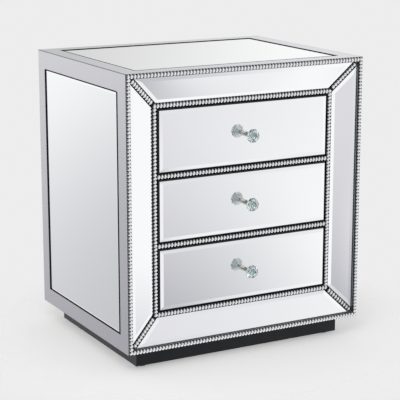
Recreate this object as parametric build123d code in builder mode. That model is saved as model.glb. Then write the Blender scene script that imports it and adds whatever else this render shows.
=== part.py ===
from build123d import *

import os
from math import atan2, cos, pi, sin, sqrt

os.makedirs("parts", exist_ok=True)

# Mirrored chest of three drawers with beaded trim, in millimetres.
# X runs from left to right, Y from front to back and Z up.
# The origin lies on the floor, midway between the knobs' tips and the back.

# Case
case_width = 580
case_depth = 458
case_height = 598
board_thickness = 18
back_thickness = 5
back_rebate_width = 9
back_clearance = 0.5
liner_thickness = 15

# Front frame, whose section runs in from its outer edge: a land, a slope and a second land
frame_depth = 34
outer_land_width = 10.6
slope_width = 56.9
inner_land_width = 11.5
slope_outer_depth = 7.1
slope_end_thickness = 12.8
inner_land_thickness = 15

# Mirror glass
glass_thickness = 4
bevel_width = 7.5
bevel_depth = 1.2
frame_glass_clearance = 1
frame_glass_mitre_gap = 7.5
pocket_depth = 5
pocket_clearance = 1.5
panel_bevel_width = 4
panel_bevel_depth = 0.8
side_border_front = 44
side_border_back = 39
side_border_top = 41.5
side_border_bottom = 36
top_border_sides = 41.5
top_border_front = 40.5
top_border_back = 38.5

# Beading: beads in a row on a ribbon, with their crowns flat and their flanks sloping
ribbon_width = 9.6
ribbon_thickness = 1.2
bead_pitch = 7.6
bead_crown_width = 4.6
bead_crown_length = 3.2
bead_height = 3.6
bead_neck_share = 0.25
outer_ribbon_inset = 0.4
inner_ribbon_inset = 1.2
mitre_ribbon_thickness = 3.4
mitre_end_gap = 0.5

# Rails between the drawers
rail_thickness = 10
rail_depth = 50

# Drawer fronts
drawer_names = ("bottom", "middle", "top")
front_gap = 2
front_thickness = 15
front_margin = 3
front_setback = 0.6

# Drawer boxes
box_side_thickness = 12
box_rise = 14
box_head_room = 27
box_rear_clearance = 40
box_bottom_thickness = 5
box_bottom_rise = 8
groove_depth = 6
groove_play = 0.3

# Telescopic runners: three channels, each within the last
runner_width = 12.7
runner_height = 35
runner_gauge = 1.2
runner_play = 0.4
runner_front_setback = 2
runner_rear_setback = 28
runner_lip_clearance = 2

# Knobs, whose profile is measured from the glass outwards
crystal_radius = 15
crystal_sides = 10
crystal_seat_radius = 4.6
crystal_back_length = 11
crystal_girdle = 2.6
crystal_crown_length = 5.4
crystal_crown_radius = 10.5
crystal_dome_length = 2.4
crystal_table_radius = 5
ferrule_barrel_radius = 5.6
ferrule_barrel_length = 14
ferrule_neck_radius = 3.6
ferrule_length = 21
screw_radius = 2
screw_clearance = 0.3
screw_head_radius = 4
screw_head_height = 2.4
screw_engagement = 12
screw_tip_gap = 1

# Plinth and feet
plinth_height = 40
plinth_thickness = 15
plinth_side_inset = 34
plinth_frame_overlap = 1
plinth_back_inset = 35.5
corner_block = 32
foot_radius = 12.5
foot_height = 6
foot_inset = 22

# Places that follow from these sizes
half_width = case_width / 2
half_height = case_height / 2
slope_inner_depth = frame_depth - slope_end_thickness
inner_land_depth = frame_depth - inner_land_thickness
frame_face = outer_land_width + slope_width + inner_land_width
opening_half_width = half_width - frame_face
opening_height = case_height - 2 * frame_face
knob_length = ferrule_length + crystal_back_length + crystal_girdle
knob_length += crystal_crown_length + crystal_dome_length
drawer_glass_recess = frame_depth - front_setback - front_thickness - glass_thickness
knob_reach = knob_length - drawer_glass_recess
front_y = (knob_reach - case_depth) / 2
frame_back_y = front_y + frame_depth
back_y = front_y + case_depth
back_panel_y = back_y - back_thickness
case_bottom = foot_height + plinth_height
case_top = case_bottom + case_height
inside_half_width = half_width - board_thickness
inside_bottom = case_bottom + board_thickness
inside_top = case_top - board_thickness

drawer_count = len(drawer_names)
rails_and_gaps = (drawer_count - 1) * rail_thickness + 2 * drawer_count * front_gap
front_height = (opening_height - rails_and_gaps) / drawer_count
front_width = 2 * (opening_half_width - front_gap)
bay_pitch = front_height + 2 * front_gap + rail_thickness
opening_bottom = case_bottom + frame_face
glass_front_y = front_y + drawer_glass_recess
drawer_front_y = glass_front_y + glass_thickness
drawer_back_y = drawer_front_y + front_thickness
box_half_width = opening_half_width - runner_width
box_end_y = back_panel_y - box_rear_clearance
box_length = box_end_y - drawer_back_y
box_height = front_height - box_rise - box_head_room
runner_start_y = frame_back_y + runner_front_setback
runner_length = box_end_y - runner_rear_setback - runner_start_y

to_right = Vector(1, 0, 0)
to_back = Vector(0, 1, 0)
upwards = Vector(0, 0, 1)
frame_middle = Vector(0, front_y, case_bottom + half_height)
slope = to_back * (slope_inner_depth - slope_outer_depth) / slope_width
slope_angle = atan2(slope_inner_depth - slope_outer_depth, slope_width)

# Each side of the frame: the way inwards, the reach from the middle, half its length
frame_sides = {
    "top": (-upwards, half_height, half_width),
    "bottom": (upwards, half_height, half_width),
    "left": (to_right, half_width, half_height),
    "right": (-to_right, half_width, half_height),
}


def save(part, label):
    """Labels a finished piece and writes it to its file."""
    part.label = label
    export_step(part, f"parts/{label}.step")


def facing_front(y, x=0, z=0):
    """An upright plane across the case that faces the viewer."""
    return Plane(origin=(x, y, z), x_dir=to_right, z_dir=-to_back)


def facing_side(side, x, y, z):
    """An upright plane along the case that faces out to one side."""
    return Plane(origin=(side * x, y, z), x_dir=to_back * side, z_dir=to_right * side)


def block(low, high):
    """A plain board between two opposite corners."""
    with BuildPart() as board:
        with BuildSketch(Plane(origin=low)):
            Rectangle(high[0] - low[0], high[1] - low[1], align=Align.MIN)
        extrude(amount=high[2] - low[2])
    return board.part


def bevelled_pane(plane, outline, width, depth, hole_radius=0):
    """Mirror glass standing on a plane, its outer face bevelled along every edge."""
    with BuildPart() as pane:
        with BuildSketch(plane):
            with BuildLine():
                Polyline(*outline, close=True)
            make_face()
            if hole_radius:
                Circle(hole_radius, mode=Mode.SUBTRACT)
        extrude(amount=glass_thickness)
        outwards = Axis(plane.origin, plane.z_dir)
        face = pane.faces().filter_by(plane).sort_by(outwards)[-1]
        chamfer(face.outer_wire().edges(), length=width, length2=depth, reference=face)
    return pane.part


def rectangle_outline(width, height):
    """The corners of a rectangle about its middle."""
    half_w = width / 2
    half_h = height / 2
    return [(-half_w, -half_h), (half_w, -half_h), (half_w, half_h), (-half_w, half_h)]


# Front frame


def section_plane(side):
    """Across a frame member at its middle: x runs inwards, y back and z along it."""
    inward, reach, _ = frame_sides[side]
    origin = frame_middle - inward * reach
    return Plane(origin=origin, x_dir=inward, z_dir=inward.cross(to_back))


def mitre_planes(side):
    """The two planes at 45 degrees that end a member, facing off the member."""
    section = section_plane(side)
    half_length = frame_sides[side][2]
    planes = []
    for end in (-1, 1):
        corner = section.origin + section.z_dir * end * half_length
        planes.append(Plane(origin=corner, z_dir=section.x_dir + section.z_dir * end))
    return planes


def slope_plane(side):
    """The sloping seat of a member: x runs down the slope and z out of it."""
    section = section_plane(side)
    down = (section.x_dir + slope).normalized()
    start = section.x_dir * outer_land_width + section.y_dir * slope_outer_depth
    return Plane(section.origin + start, x_dir=down, z_dir=down.cross(section.z_dir))


def frame_member(side):
    """A mitred member with a land for beading on each side of its slope."""
    slope_end = outer_land_width + slope_width
    outline = [
        (0, 0),
        (outer_land_width, 0),
        (outer_land_width, slope_outer_depth),
        (slope_end, slope_inner_depth),
        (slope_end, inner_land_depth),
        (frame_face, inner_land_depth),
        (frame_face, frame_depth),
        (0, frame_depth),
    ]
    with BuildPart() as member:
        with BuildSketch(section_plane(side)):
            with BuildLine():
                Polyline(*outline, close=True)
            make_face()
        extrude(amount=frame_sides[side][2], both=True)
        for cut in mitre_planes(side):
            split(bisect_by=cut, keep=Keep.BOTTOM)
    return member.part


def frame_mirror(side):
    """The pane on a member's slope, with its ends parallel to the mitres."""
    half_length = frame_sides[side][2]
    slope_length = slope_width / cos(slope_angle)
    near = frame_glass_clearance
    far = slope_length - frame_glass_clearance
    full = half_length - outer_land_width - frame_glass_mitre_gap * sqrt(2)
    near_half = full - near * cos(slope_angle)
    far_half = full - far * cos(slope_angle)
    outline = [(near, -near_half), (far, -far_half), (far, far_half), (near, near_half)]
    return bevelled_pane(slope_plane(side), outline, bevel_width, bevel_depth)


for side in frame_sides:
    save(frame_member(side), f"frame_{side}")
    save(frame_mirror(side), f"frame_mirror_{side}")


# Beading


def bead_string(seat, length, thickness, cuts=()):
    """A row of beads on a ribbon, centred on its seat, whose x runs along the row.

    The row is a ridge with sloping flanks, notched across between each bead and the next.
    """
    count = max(1, round(length / bead_pitch))
    pitch = length / count
    crown = thickness + bead_height
    neck = thickness + bead_height * bead_neck_share
    start = seat.origin - seat.x_dir * length / 2
    notched = [(-length / 2, 0), (-length / 2, neck)]
    for number in range(count):
        middle = (number + 1 / 2) * pitch - length / 2
        notched.append((middle - bead_crown_length / 2, crown))
        notched.append((middle + bead_crown_length / 2, crown))
        notched.append((middle + pitch / 2, neck))
    notched.append((length / 2, 0))
    with BuildPart() as string:
        with BuildSketch(Plane(start, x_dir=seat.y_dir, z_dir=seat.x_dir)):
            with BuildLine():
                Polyline(
                    (-ribbon_width / 2, 0),
                    (-ribbon_width / 2, thickness),
                    (-bead_crown_width / 2, crown),
                    (bead_crown_width / 2, crown),
                    (ribbon_width / 2, thickness),
                    (ribbon_width / 2, 0),
                    close=True,
                )
            make_face()
        extrude(amount=length)
        with BuildSketch(Plane(seat.origin, x_dir=seat.x_dir, z_dir=-seat.y_dir)):
            with BuildLine():
                Polyline(*notched, close=True)
            make_face()
        extrude(amount=ribbon_width, both=True, mode=Mode.INTERSECT)
        for cut in cuts:
            split(bisect_by=cut, keep=Keep.BOTTOM)
    return string.part


def ring_string(side, inset, depth):
    """The beading of one side of a ring, mitred with its neighbours."""
    section = section_plane(side)
    middle = inset + ribbon_width / 2
    place = section.origin + section.x_dir * middle + section.y_dir * depth
    seat = Plane(place, x_dir=section.z_dir, z_dir=-to_back)
    length = 2 * (frame_sides[side][2] - inset)
    return bead_string(seat, length, ribbon_thickness, mitre_planes(side))


def mitre_string(upright, level):
    """The beading down the valley where two slopes meet, shaped to both of them."""
    inward_u, reach_u, _ = frame_sides[upright]
    inward_l, reach_l, _ = frame_sides[level]
    corner = frame_middle - inward_u * reach_u - inward_l * reach_l
    start = outer_land_width + mitre_end_gap + ribbon_width / 2 / sqrt(2)
    end = outer_land_width + slope_width - mitre_end_gap
    diagonal = inward_u + inward_l + slope
    middle = (start + end) / 2 - outer_land_width
    land_corner = (inward_u + inward_l) * outer_land_width + to_back * slope_outer_depth
    place = corner + land_corner + diagonal * middle
    along = diagonal.normalized()
    seat = Plane(place, x_dir=along, z_dir=along * along.dot(to_back) - to_back)
    slopes = [slope_plane(upright), slope_plane(level)]
    cuts = [Plane(plane.origin, z_dir=-plane.z_dir) for plane in slopes]
    return bead_string(seat, (end - start) * diagonal.length, mitre_ribbon_thickness, cuts)


def ring(inset, depth):
    """The strings of a ring: the left and top ones and their mirror images."""
    left = ring_string("left", inset, depth)
    top = ring_string("top", inset, depth)
    return [left, mirror(left, about=upright), top, mirror(top, about=level)]


upright = Plane(origin=frame_middle, z_dir=to_right)
level = Plane(origin=frame_middle, z_dir=upwards)
inner_inset = outer_land_width + slope_width + inner_ribbon_inset
save(Compound(children=ring(outer_ribbon_inset, 0)), "outer_beading")
save(Compound(children=ring(inner_inset, inner_land_depth)), "inner_beading")
mitre_pair = [mitre_string("left", "top")]
mitre_pair.append(mirror(mitre_pair[0], about=level))
mitres = mitre_pair + [mirror(string, about=upright) for string in mitre_pair]
save(Compound(children=mitres), "mitre_beading")

# Rails between the drawers, each with beading on its front edge

rail_names = ("lower_rail", "upper_rail")
rail_y = front_y + inner_land_depth
lowest_seat = facing_front(rail_y, z=opening_bottom - rail_thickness / 2)
rail_string = bead_string(lowest_seat, 2 * opening_half_width, ribbon_thickness)
rail_strings = []
for number, rail_name in enumerate(rail_names, start=1):
    rail_top = opening_bottom + number * bay_pitch
    low = (-opening_half_width, rail_y, rail_top - rail_thickness)
    high = (opening_half_width, rail_y + rail_depth, rail_top)
    save(block(low, high), rail_name)
    rail_strings.append(Pos(0, 0, number * bay_pitch) * rail_string)
save(Compound(children=rail_strings), "rail_beading")


# Carcass


def side_panel(side):
    """A side mitred to the top, with a pocket for its mirror and a rebate for the back."""
    height = case_height
    pocket_front = front_y + side_border_front
    pocket_back = back_y - side_border_back
    pocket_bottom = case_bottom + side_border_bottom
    pocket_top = case_top - side_border_top
    pocket_middle = (pocket_front + pocket_back) / 2, (pocket_bottom + pocket_top) / 2
    pocket_size = pocket_back - pocket_front, pocket_top - pocket_bottom
    rebate_x = half_width - back_rebate_width
    with BuildPart() as panel:
        with BuildSketch(facing_front(frame_back_y, z=case_bottom)):
            with BuildLine():
                Polyline(
                    (side * half_width, 0),
                    (side * half_width, height),
                    (side * inside_half_width, height - board_thickness),
                    (side * inside_half_width, 0),
                    close=True,
                )
            make_face()
        extrude(amount=frame_back_y - back_y)
        with BuildSketch(facing_side(side, half_width, *pocket_middle)):
            Rectangle(*pocket_size)
        extrude(amount=-pocket_depth, mode=Mode.SUBTRACT)
        with BuildSketch(Plane.XY.offset(case_bottom)):
            with Locations((side * rebate_x / 2, back_y)):
                Rectangle(rebate_x, 2 * back_thickness)
        extrude(amount=case_height - board_thickness / 2, mode=Mode.SUBTRACT)
    seat = facing_side(side, half_width - pocket_depth, *pocket_middle)
    outline = rectangle_outline(*(size - 2 * pocket_clearance for size in pocket_size))
    pane = bevelled_pane(seat, outline, panel_bevel_width, panel_bevel_depth)
    return panel.part, pane


for side, side_name in ((-1, "left"), (1, "right")):
    panel, pane = side_panel(side)
    save(panel, f"{side_name}_side")
    save(pane, f"{side_name}_side_mirror")

top_pocket_front = front_y + top_border_front
top_pocket_back = back_y - top_border_back
top_pocket_y = (top_pocket_front + top_pocket_back) / 2
top_pocket_width = case_width - 2 * top_border_sides
top_pocket_length = top_pocket_back - top_pocket_front

with BuildPart() as top_panel:
    with BuildSketch(facing_front(frame_back_y, z=inside_top)):
        with BuildLine():
            Polyline(
                (-inside_half_width, 0),
                (inside_half_width, 0),
                (half_width, board_thickness),
                (-half_width, board_thickness),
                close=True,
            )
        make_face()
    extrude(amount=frame_back_y - back_y)
    with BuildSketch(Plane.XY.offset(case_top)):
        with Locations((0, top_pocket_y)):
            Rectangle(top_pocket_width, top_pocket_length)
    extrude(amount=-pocket_depth, mode=Mode.SUBTRACT)
    with BuildSketch(Plane.XY.offset(inside_top)):
        with Locations((0, back_y)):
            Rectangle(2 * (half_width - back_rebate_width), 2 * back_thickness)
    extrude(amount=board_thickness - back_rebate_width, mode=Mode.SUBTRACT)
save(top_panel.part, "top_panel")

top_seat = Plane(origin=(0, top_pocket_y, case_top - pocket_depth))
top_size = (top_pocket_width - 2 * pocket_clearance, top_pocket_length - 2 * pocket_clearance)
top_mirror = bevelled_pane(
    top_seat, rectangle_outline(*top_size), panel_bevel_width, panel_bevel_depth
)
save(top_mirror, "top_mirror")

bottom_panel = block(
    (-inside_half_width, frame_back_y, case_bottom),
    (inside_half_width, back_panel_y, inside_bottom),
)
save(bottom_panel, "bottom_panel")

back_half_width = half_width - back_rebate_width - back_clearance
back_panel = block(
    (-back_half_width, back_panel_y, case_bottom),
    (back_half_width, back_y, case_top - back_rebate_width - back_clearance),
)
save(back_panel, "back_panel")

# Inner panels, flush with the frame's opening, that carry the runners
inner_panels = []
for side in (-1, 1):
    edges = sorted((side * opening_half_width, side * (opening_half_width + liner_thickness)))
    low = (edges[0], frame_back_y, inside_bottom)
    inner_panels.append(block(low, (edges[1], back_panel_y, inside_top)))
save(Compound(children=inner_panels), "inner_panels")


# Runners


def channel(side, web_x, lip_x, height, z):
    """A channel along the case, its web against one side and its lips turned to the other."""
    turn = side if lip_x < web_x else -side
    web = side * web_x
    lip = side * lip_x
    inner_web = web - turn * runner_gauge
    half = height / 2
    inner_half = half - runner_gauge
    with BuildPart() as rail:
        with BuildSketch(facing_front(runner_start_y, z=z)):
            with BuildLine():
                Polyline(
                    (web, -half),
                    (lip, -half),
                    (lip, -inner_half),
                    (inner_web, -inner_half),
                    (inner_web, inner_half),
                    (lip, inner_half),
                    (lip, half),
                    (web, half),
                    close=True,
                )
            make_face()
        extrude(amount=-runner_length)
    return rail.part


def runner_set(z):
    """The case, middle and drawer members on both sides of a drawer."""
    step = runner_gauge + runner_play
    outer_web = opening_half_width
    middle_web = outer_web - step
    inner_web = box_half_width
    outer_lip = inner_web + runner_lip_clearance + runner_gauge
    middle_lip = inner_web + step
    inner_lip = middle_web - step
    heights = [runner_height - 2 * step * level for level in range(3)]
    case_members = [channel(s, outer_web, outer_lip, heights[0], z) for s in (-1, 1)]
    middle_members = [channel(s, middle_web, middle_lip, heights[1], z) for s in (-1, 1)]
    drawer_members = [channel(s, inner_web, inner_lip, heights[2], z) for s in (-1, 1)]
    return case_members, middle_members, drawer_members


# Drawers


def revolved(profile, y, z):
    """A turned piece on the knob's axis, from points of radius and distance outwards."""
    with BuildPart() as turned:
        with BuildSketch(Plane(origin=(0, y, z), x_dir=to_right, z_dir=upwards)):
            with BuildLine():
                Polyline(*[(radius, -out) for radius, out in profile], close=True)
            make_face()
        revolve(axis=Axis((0, y, z), to_back))
    return turned.part


def crystal(z):
    """A crystal ground flat by flat: a cone behind its girdle, a crown and a dome before."""
    length = crystal_back_length + crystal_girdle + crystal_crown_length
    length += crystal_dome_length
    seat = facing_front(glass_front_y - ferrule_length, z=z)
    crown_start = crystal_back_length + crystal_girdle
    grinds = [
        (crystal_back_length, crystal_radius, crystal_seat_radius, -crystal_back_length),
        (crown_start, crystal_radius, crystal_crown_radius, crystal_crown_length),
        (
            crown_start + crystal_crown_length,
            crystal_crown_radius,
            crystal_table_radius,
            crystal_dome_length,
        ),
    ]
    flat_share = cos(pi / crystal_sides)
    with BuildPart() as cut:
        with BuildSketch(seat):
            RegularPolygon(crystal_radius, crystal_sides)
        extrude(amount=length)
        for start, wide, narrow, run in grinds:
            for number in range(crystal_sides):
                angle = 2 * pi * (number + 1 / 2) / crystal_sides
                radial = seat.x_dir * cos(angle) + seat.y_dir * sin(angle)
                place = seat.origin + seat.z_dir * start + radial * wide * flat_share
                rise = seat.z_dir * (wide - narrow) * flat_share
                tilt = radial * abs(run) + (rise if run > 0 else -rise)
                split(bisect_by=Plane(place, z_dir=tilt), keep=Keep.BOTTOM)
    return cut.part


def ferrule(z):
    """The knob's metal barrel, bored for its screw, and the neck that holds the crystal."""
    bore = screw_radius + screw_clearance
    bore_end = screw_engagement + screw_tip_gap
    profile = [
        (bore, 0),
        (ferrule_barrel_radius, 0),
        (ferrule_barrel_radius, ferrule_barrel_length),
        (ferrule_neck_radius, ferrule_barrel_length),
        (ferrule_neck_radius, ferrule_length),
        (0, ferrule_length),
        (0, bore_end),
        (bore, bore_end),
    ]
    return revolved(profile, glass_front_y, z)


def knob_screw(z):
    """The screw that passes through front and glass, with its head inside the drawer."""
    length = front_thickness + glass_thickness + screw_engagement
    profile = [
        (0, -screw_head_height),
        (screw_head_radius, -screw_head_height),
        (screw_head_radius, 0),
        (screw_radius, 0),
        (screw_radius, length),
        (0, length),
    ]
    return revolved(profile, drawer_back_y, z)


def drawer_front(z):
    """The front board, drilled for the knob and grooved for the drawer's bottom."""
    groove_bottom = z - front_height / 2 + box_rise + box_bottom_rise - groove_play
    groove_height = box_bottom_thickness + 2 * groove_play
    groove_width = 2 * (box_half_width - box_side_thickness + groove_depth)
    with BuildPart() as front:
        with BuildSketch(facing_front(drawer_front_y, z=z)):
            Rectangle(front_width, front_height)
            Circle(screw_radius + screw_clearance, mode=Mode.SUBTRACT)
        extrude(amount=-front_thickness)
        with BuildSketch(facing_front(drawer_back_y, z=groove_bottom)):
            Rectangle(groove_width, groove_height, align=(Align.CENTER, Align.MIN))
        extrude(amount=groove_depth, mode=Mode.SUBTRACT)
    return front.part


def box_side(side, z):
    """A side of the drawer box, grooved along its inner face for the bottom."""
    inner_x = side * (box_half_width - box_side_thickness)
    outer_x = side * box_half_width
    groove_x = inner_x + side * groove_depth
    groove_low = box_bottom_rise - groove_play
    groove_high = groove_low + box_bottom_thickness + 2 * groove_play
    with BuildPart() as board:
        with BuildSketch(facing_front(drawer_back_y, z=z)):
            with BuildLine():
                Polyline(
                    (outer_x, 0),
                    (outer_x, box_height),
                    (inner_x, box_height),
                    (inner_x, groove_high),
                    (groove_x, groove_high),
                    (groove_x, groove_low),
                    (inner_x, groove_low),
                    (inner_x, 0),
                    close=True,
                )
            make_face()
        extrude(amount=-box_length)
    return board.part


case_runners = []
for number, name in enumerate(drawer_names):
    front_z = opening_bottom + front_gap + front_height / 2 + number * bay_pitch
    box_z = front_z - front_height / 2 + box_rise
    floor_z = box_z + box_bottom_rise
    floor_top = floor_z + box_bottom_thickness
    inner_half = box_half_width - box_side_thickness
    floor_half = inner_half + groove_depth - groove_play

    save(drawer_front(front_z), f"{name}_drawer_front")
    glass_width = front_width - 2 * front_margin
    glass_height = front_height - 2 * front_margin
    pane = bevelled_pane(
        facing_front(drawer_front_y, z=front_z),
        rectangle_outline(glass_width, glass_height),
        bevel_width,
        bevel_depth,
        screw_radius + screw_clearance,
    )
    save(pane, f"{name}_drawer_mirror")

    sides = [box_side(side, box_z) for side in (-1, 1)]
    save(Compound(children=sides), f"{name}_drawer_sides")
    box_back = block(
        (-inner_half, box_end_y - box_side_thickness, floor_top),
        (inner_half, box_end_y, box_z + box_height),
    )
    save(box_back, f"{name}_drawer_back")
    box_bottom = block(
        (-floor_half, drawer_back_y - groove_depth + groove_play, floor_z),
        (floor_half, box_end_y, floor_top),
    )
    save(box_bottom, f"{name}_drawer_bottom")

    members = runner_set(box_z + box_height / 2)
    case_runners.extend(members[0])
    save(Compound(children=members[1]), f"{name}_middle_runners")
    save(Compound(children=members[2]), f"{name}_drawer_runners")

    save(crystal(front_z), f"{name}_knob_crystal")
    save(ferrule(front_z), f"{name}_knob_ferrule")
    save(knob_screw(front_z), f"{name}_knob_screw")
save(Compound(children=case_runners), "case_runners")

# Plinth, set in from the case on every side, with a foot near each corner

plinth_half = half_width - plinth_side_inset
plinth_front_y = frame_back_y - plinth_frame_overlap
plinth_back_y = back_y - plinth_back_inset
plinth_inner_front = plinth_front_y + plinth_thickness
plinth_inner_back = plinth_back_y - plinth_thickness
plinth_inner_half = plinth_half - plinth_thickness
plinth_front = block(
    (-plinth_half, plinth_front_y, foot_height),
    (plinth_half, plinth_inner_front, case_bottom),
)
save(plinth_front, "plinth_front")
plinth_back = block(
    (-plinth_half, plinth_inner_back, foot_height),
    (plinth_half, plinth_back_y, case_bottom),
)
save(plinth_back, "plinth_back")

plinth_ends = []
corner_blocks = []
feet = []
for side in (-1, 1):
    edges = sorted((side * plinth_inner_half, side * plinth_half))
    low = (edges[0], plinth_inner_front, foot_height)
    plinth_ends.append(block(low, (edges[1], plinth_inner_back, case_bottom)))
    edges = sorted((side * (plinth_inner_half - corner_block), side * plinth_inner_half))
    for near, far in (
        (plinth_inner_front, plinth_inner_front + corner_block),
        (plinth_inner_back - corner_block, plinth_inner_back),
    ):
        low = (edges[0], near, foot_height)
        corner_blocks.append(block(low, (edges[1], far, case_bottom)))
    for foot_y in (plinth_front_y + foot_inset, plinth_back_y - foot_inset):
        with BuildPart() as foot:
            with BuildSketch():
                with Locations((side * (plinth_half - foot_inset), foot_y)):
                    Circle(foot_radius)
            extrude(amount=foot_height)
        feet.append(foot.part)
save(Compound(children=plinth_ends), "plinth_ends")
save(Compound(children=corner_blocks), "plinth_corner_blocks")
save(Compound(children=feet), "feet")
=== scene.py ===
"""The looks of a mirrored chest of three drawers with beaded trim and crystal knobs."""

import logging
import math
from collections.abc import Callable, Iterable
from dataclasses import dataclass, field
from enum import Enum
from functools import partial

import bpy
import numpy as np
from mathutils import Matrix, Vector


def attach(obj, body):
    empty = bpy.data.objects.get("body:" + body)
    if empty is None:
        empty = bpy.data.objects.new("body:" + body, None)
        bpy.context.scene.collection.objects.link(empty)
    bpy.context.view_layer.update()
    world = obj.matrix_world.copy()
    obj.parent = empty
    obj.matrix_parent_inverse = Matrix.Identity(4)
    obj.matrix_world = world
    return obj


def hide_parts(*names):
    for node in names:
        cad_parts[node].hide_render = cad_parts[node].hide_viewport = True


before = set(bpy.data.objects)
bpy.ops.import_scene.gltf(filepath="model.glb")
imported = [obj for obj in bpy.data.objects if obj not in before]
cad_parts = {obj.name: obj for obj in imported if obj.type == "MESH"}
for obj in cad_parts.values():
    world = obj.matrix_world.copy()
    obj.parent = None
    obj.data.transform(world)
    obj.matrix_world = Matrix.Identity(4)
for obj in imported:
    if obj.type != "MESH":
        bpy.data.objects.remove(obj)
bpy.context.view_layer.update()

MM = 0.001
RELIEF = "relief"
SOFT_CREASE = 40.0
log = logging.getLogger("chest")

Colour = tuple[float, float, float, float]
Span = tuple[float, float]
Socket = bpy.types.NodeSocket
Adder = Callable[..., bpy.types.Node]
Inputs = dict[str | int, object]


def linear(hex_colour: str) -> Colour:
    """Turns an sRGB hex colour into linear light.

    Args:
        hex_colour: The colour as "#RRGGBB".

    Returns:
        Red, green, blue and an alpha of 1.
    """
    shares = np.array([int(hex_colour[i : i + 2], 16) for i in (1, 3, 5)]) / 255
    light = np.where(shares <= 0.04045, shares / 12.92, ((shares + 0.055) / 1.055) ** 2.4)
    return (*(float(value) for value in light), 1.0)


def per_size(millimetres: float) -> float:
    """The texture scale whose features are about this many millimetres across."""
    return 1 / (millimetres * MM)


def per_band(millimetres: float) -> float:
    """The wave texture scale whose bands repeat every so many millimetres."""
    return math.pi / 10 / (millimetres * MM)


def feed(node: bpy.types.Node, inputs: Inputs) -> None:
    """Fills or links a node's inputs.

    Args:
        node: The node.
        inputs: For each input's name or number its value, or the socket that feeds it,
            or the node whose first output in use feeds it.
    """
    for key, value in inputs.items():
        if isinstance(value, bpy.types.Node):
            value = next(output for output in value.outputs if output.enabled)
        if isinstance(value, Socket):
            node.id_data.links.new(value, node.inputs[key])
        else:
            node.inputs[key].default_value = value


def add_node(
    tree: bpy.types.NodeTree, kind: str, inputs: Inputs | None = None, **settings: object
) -> bpy.types.Node:
    """Adds a node with its settings, and fills or links its inputs.

    Args:
        tree: The node tree that the node goes into.
        kind: The node's type in Blender, without the "ShaderNode" before it.
        inputs: What its inputs get, as `feed` takes it.
        settings: The node's own properties.

    Returns:
        The new node.
    """
    node = tree.nodes.new(f"ShaderNode{kind}")
    for name, value in settings.items():
        setattr(node, name, value)
    feed(node, inputs or {})
    return node


def adder(owner: bpy.types.Material | bpy.types.World) -> Adder:
    """Empties the node tree of a material or world.

    Args:
        owner: The material or world.

    Returns:
        `add_node` for its tree.
    """
    owner.use_nodes = True
    owner.node_tree.nodes.clear()
    return partial(add_node, owner.node_tree)


def direction(azimuth: float, elevation: float) -> Vector:
    """Which way an angle lies: azimuth 0 is in front of the chest, 90 to its right.

    Args:
        azimuth: The angle round the chest in degrees.
        elevation: The angle above the floor in degrees.

    Returns:
        The direction as a vector of length 1.
    """
    a, e = math.radians(azimuth), math.radians(elevation)
    return Vector((math.sin(a) * math.cos(e), -math.cos(a) * math.cos(e), math.sin(e)))


# Finishes


@dataclass(frozen=True)
class Finish:
    """What a surface is made of, with the values that hold all over it."""

    name: str
    colour: str
    roughness: float
    metallic: float = 0.0

    def build(self) -> bpy.types.Material:
        """Makes the material, whose pattern comes from `detail`.

        Returns:
            The finished material.
        """
        material = bpy.data.materials.new(self.name)
        add = adder(material)
        place = add("TexCoord").outputs["Object"]
        even = {
            "Base Color": linear(self.colour),
            "Roughness": self.roughness,
            "Metallic": self.metallic,
        }
        shader = add("BsdfPrincipled", even)
        feed(shader, self.detail(add, place))
        add("OutputMaterial", {"Surface": shader})
        return material

    def detail(self, add: Adder, place: Socket) -> Inputs:
        """Adds the pattern of this finish.

        Args:
            add: Adds a node to the material's tree.
            place: The object coordinates.

        Returns:
            What the pattern gives to the shader's inputs.
        """
        raise NotImplementedError


@dataclass(frozen=True)
class SilveredGlass(Finish):
    """Float glass silvered on its back, ground and polished along its bevels.

    The eye gets a clean mirror with hardly a trace of cloth marks in its polish.
    """

    haze_size: float = 70.0
    haze_span: Span = (0.35, 0.75)
    haze: float = 0.018

    def detail(self, add: Adder, place: Socket) -> Inputs:
        """Clouds the polish a little, in patches the size of a wiping hand."""
        scale = per_size(self.haze_size)
        marks = add("TexNoise", {"Vector": place, "Scale": scale, "Detail": 5.0})
        low, high = self.haze_span
        limits = {"To Min": self.roughness, "To Max": self.roughness + self.haze}
        spread = add("MapRange", {"Value": marks, "From Min": low, "From Max": high} | limits)
        return {"Roughness": spread}


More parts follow.
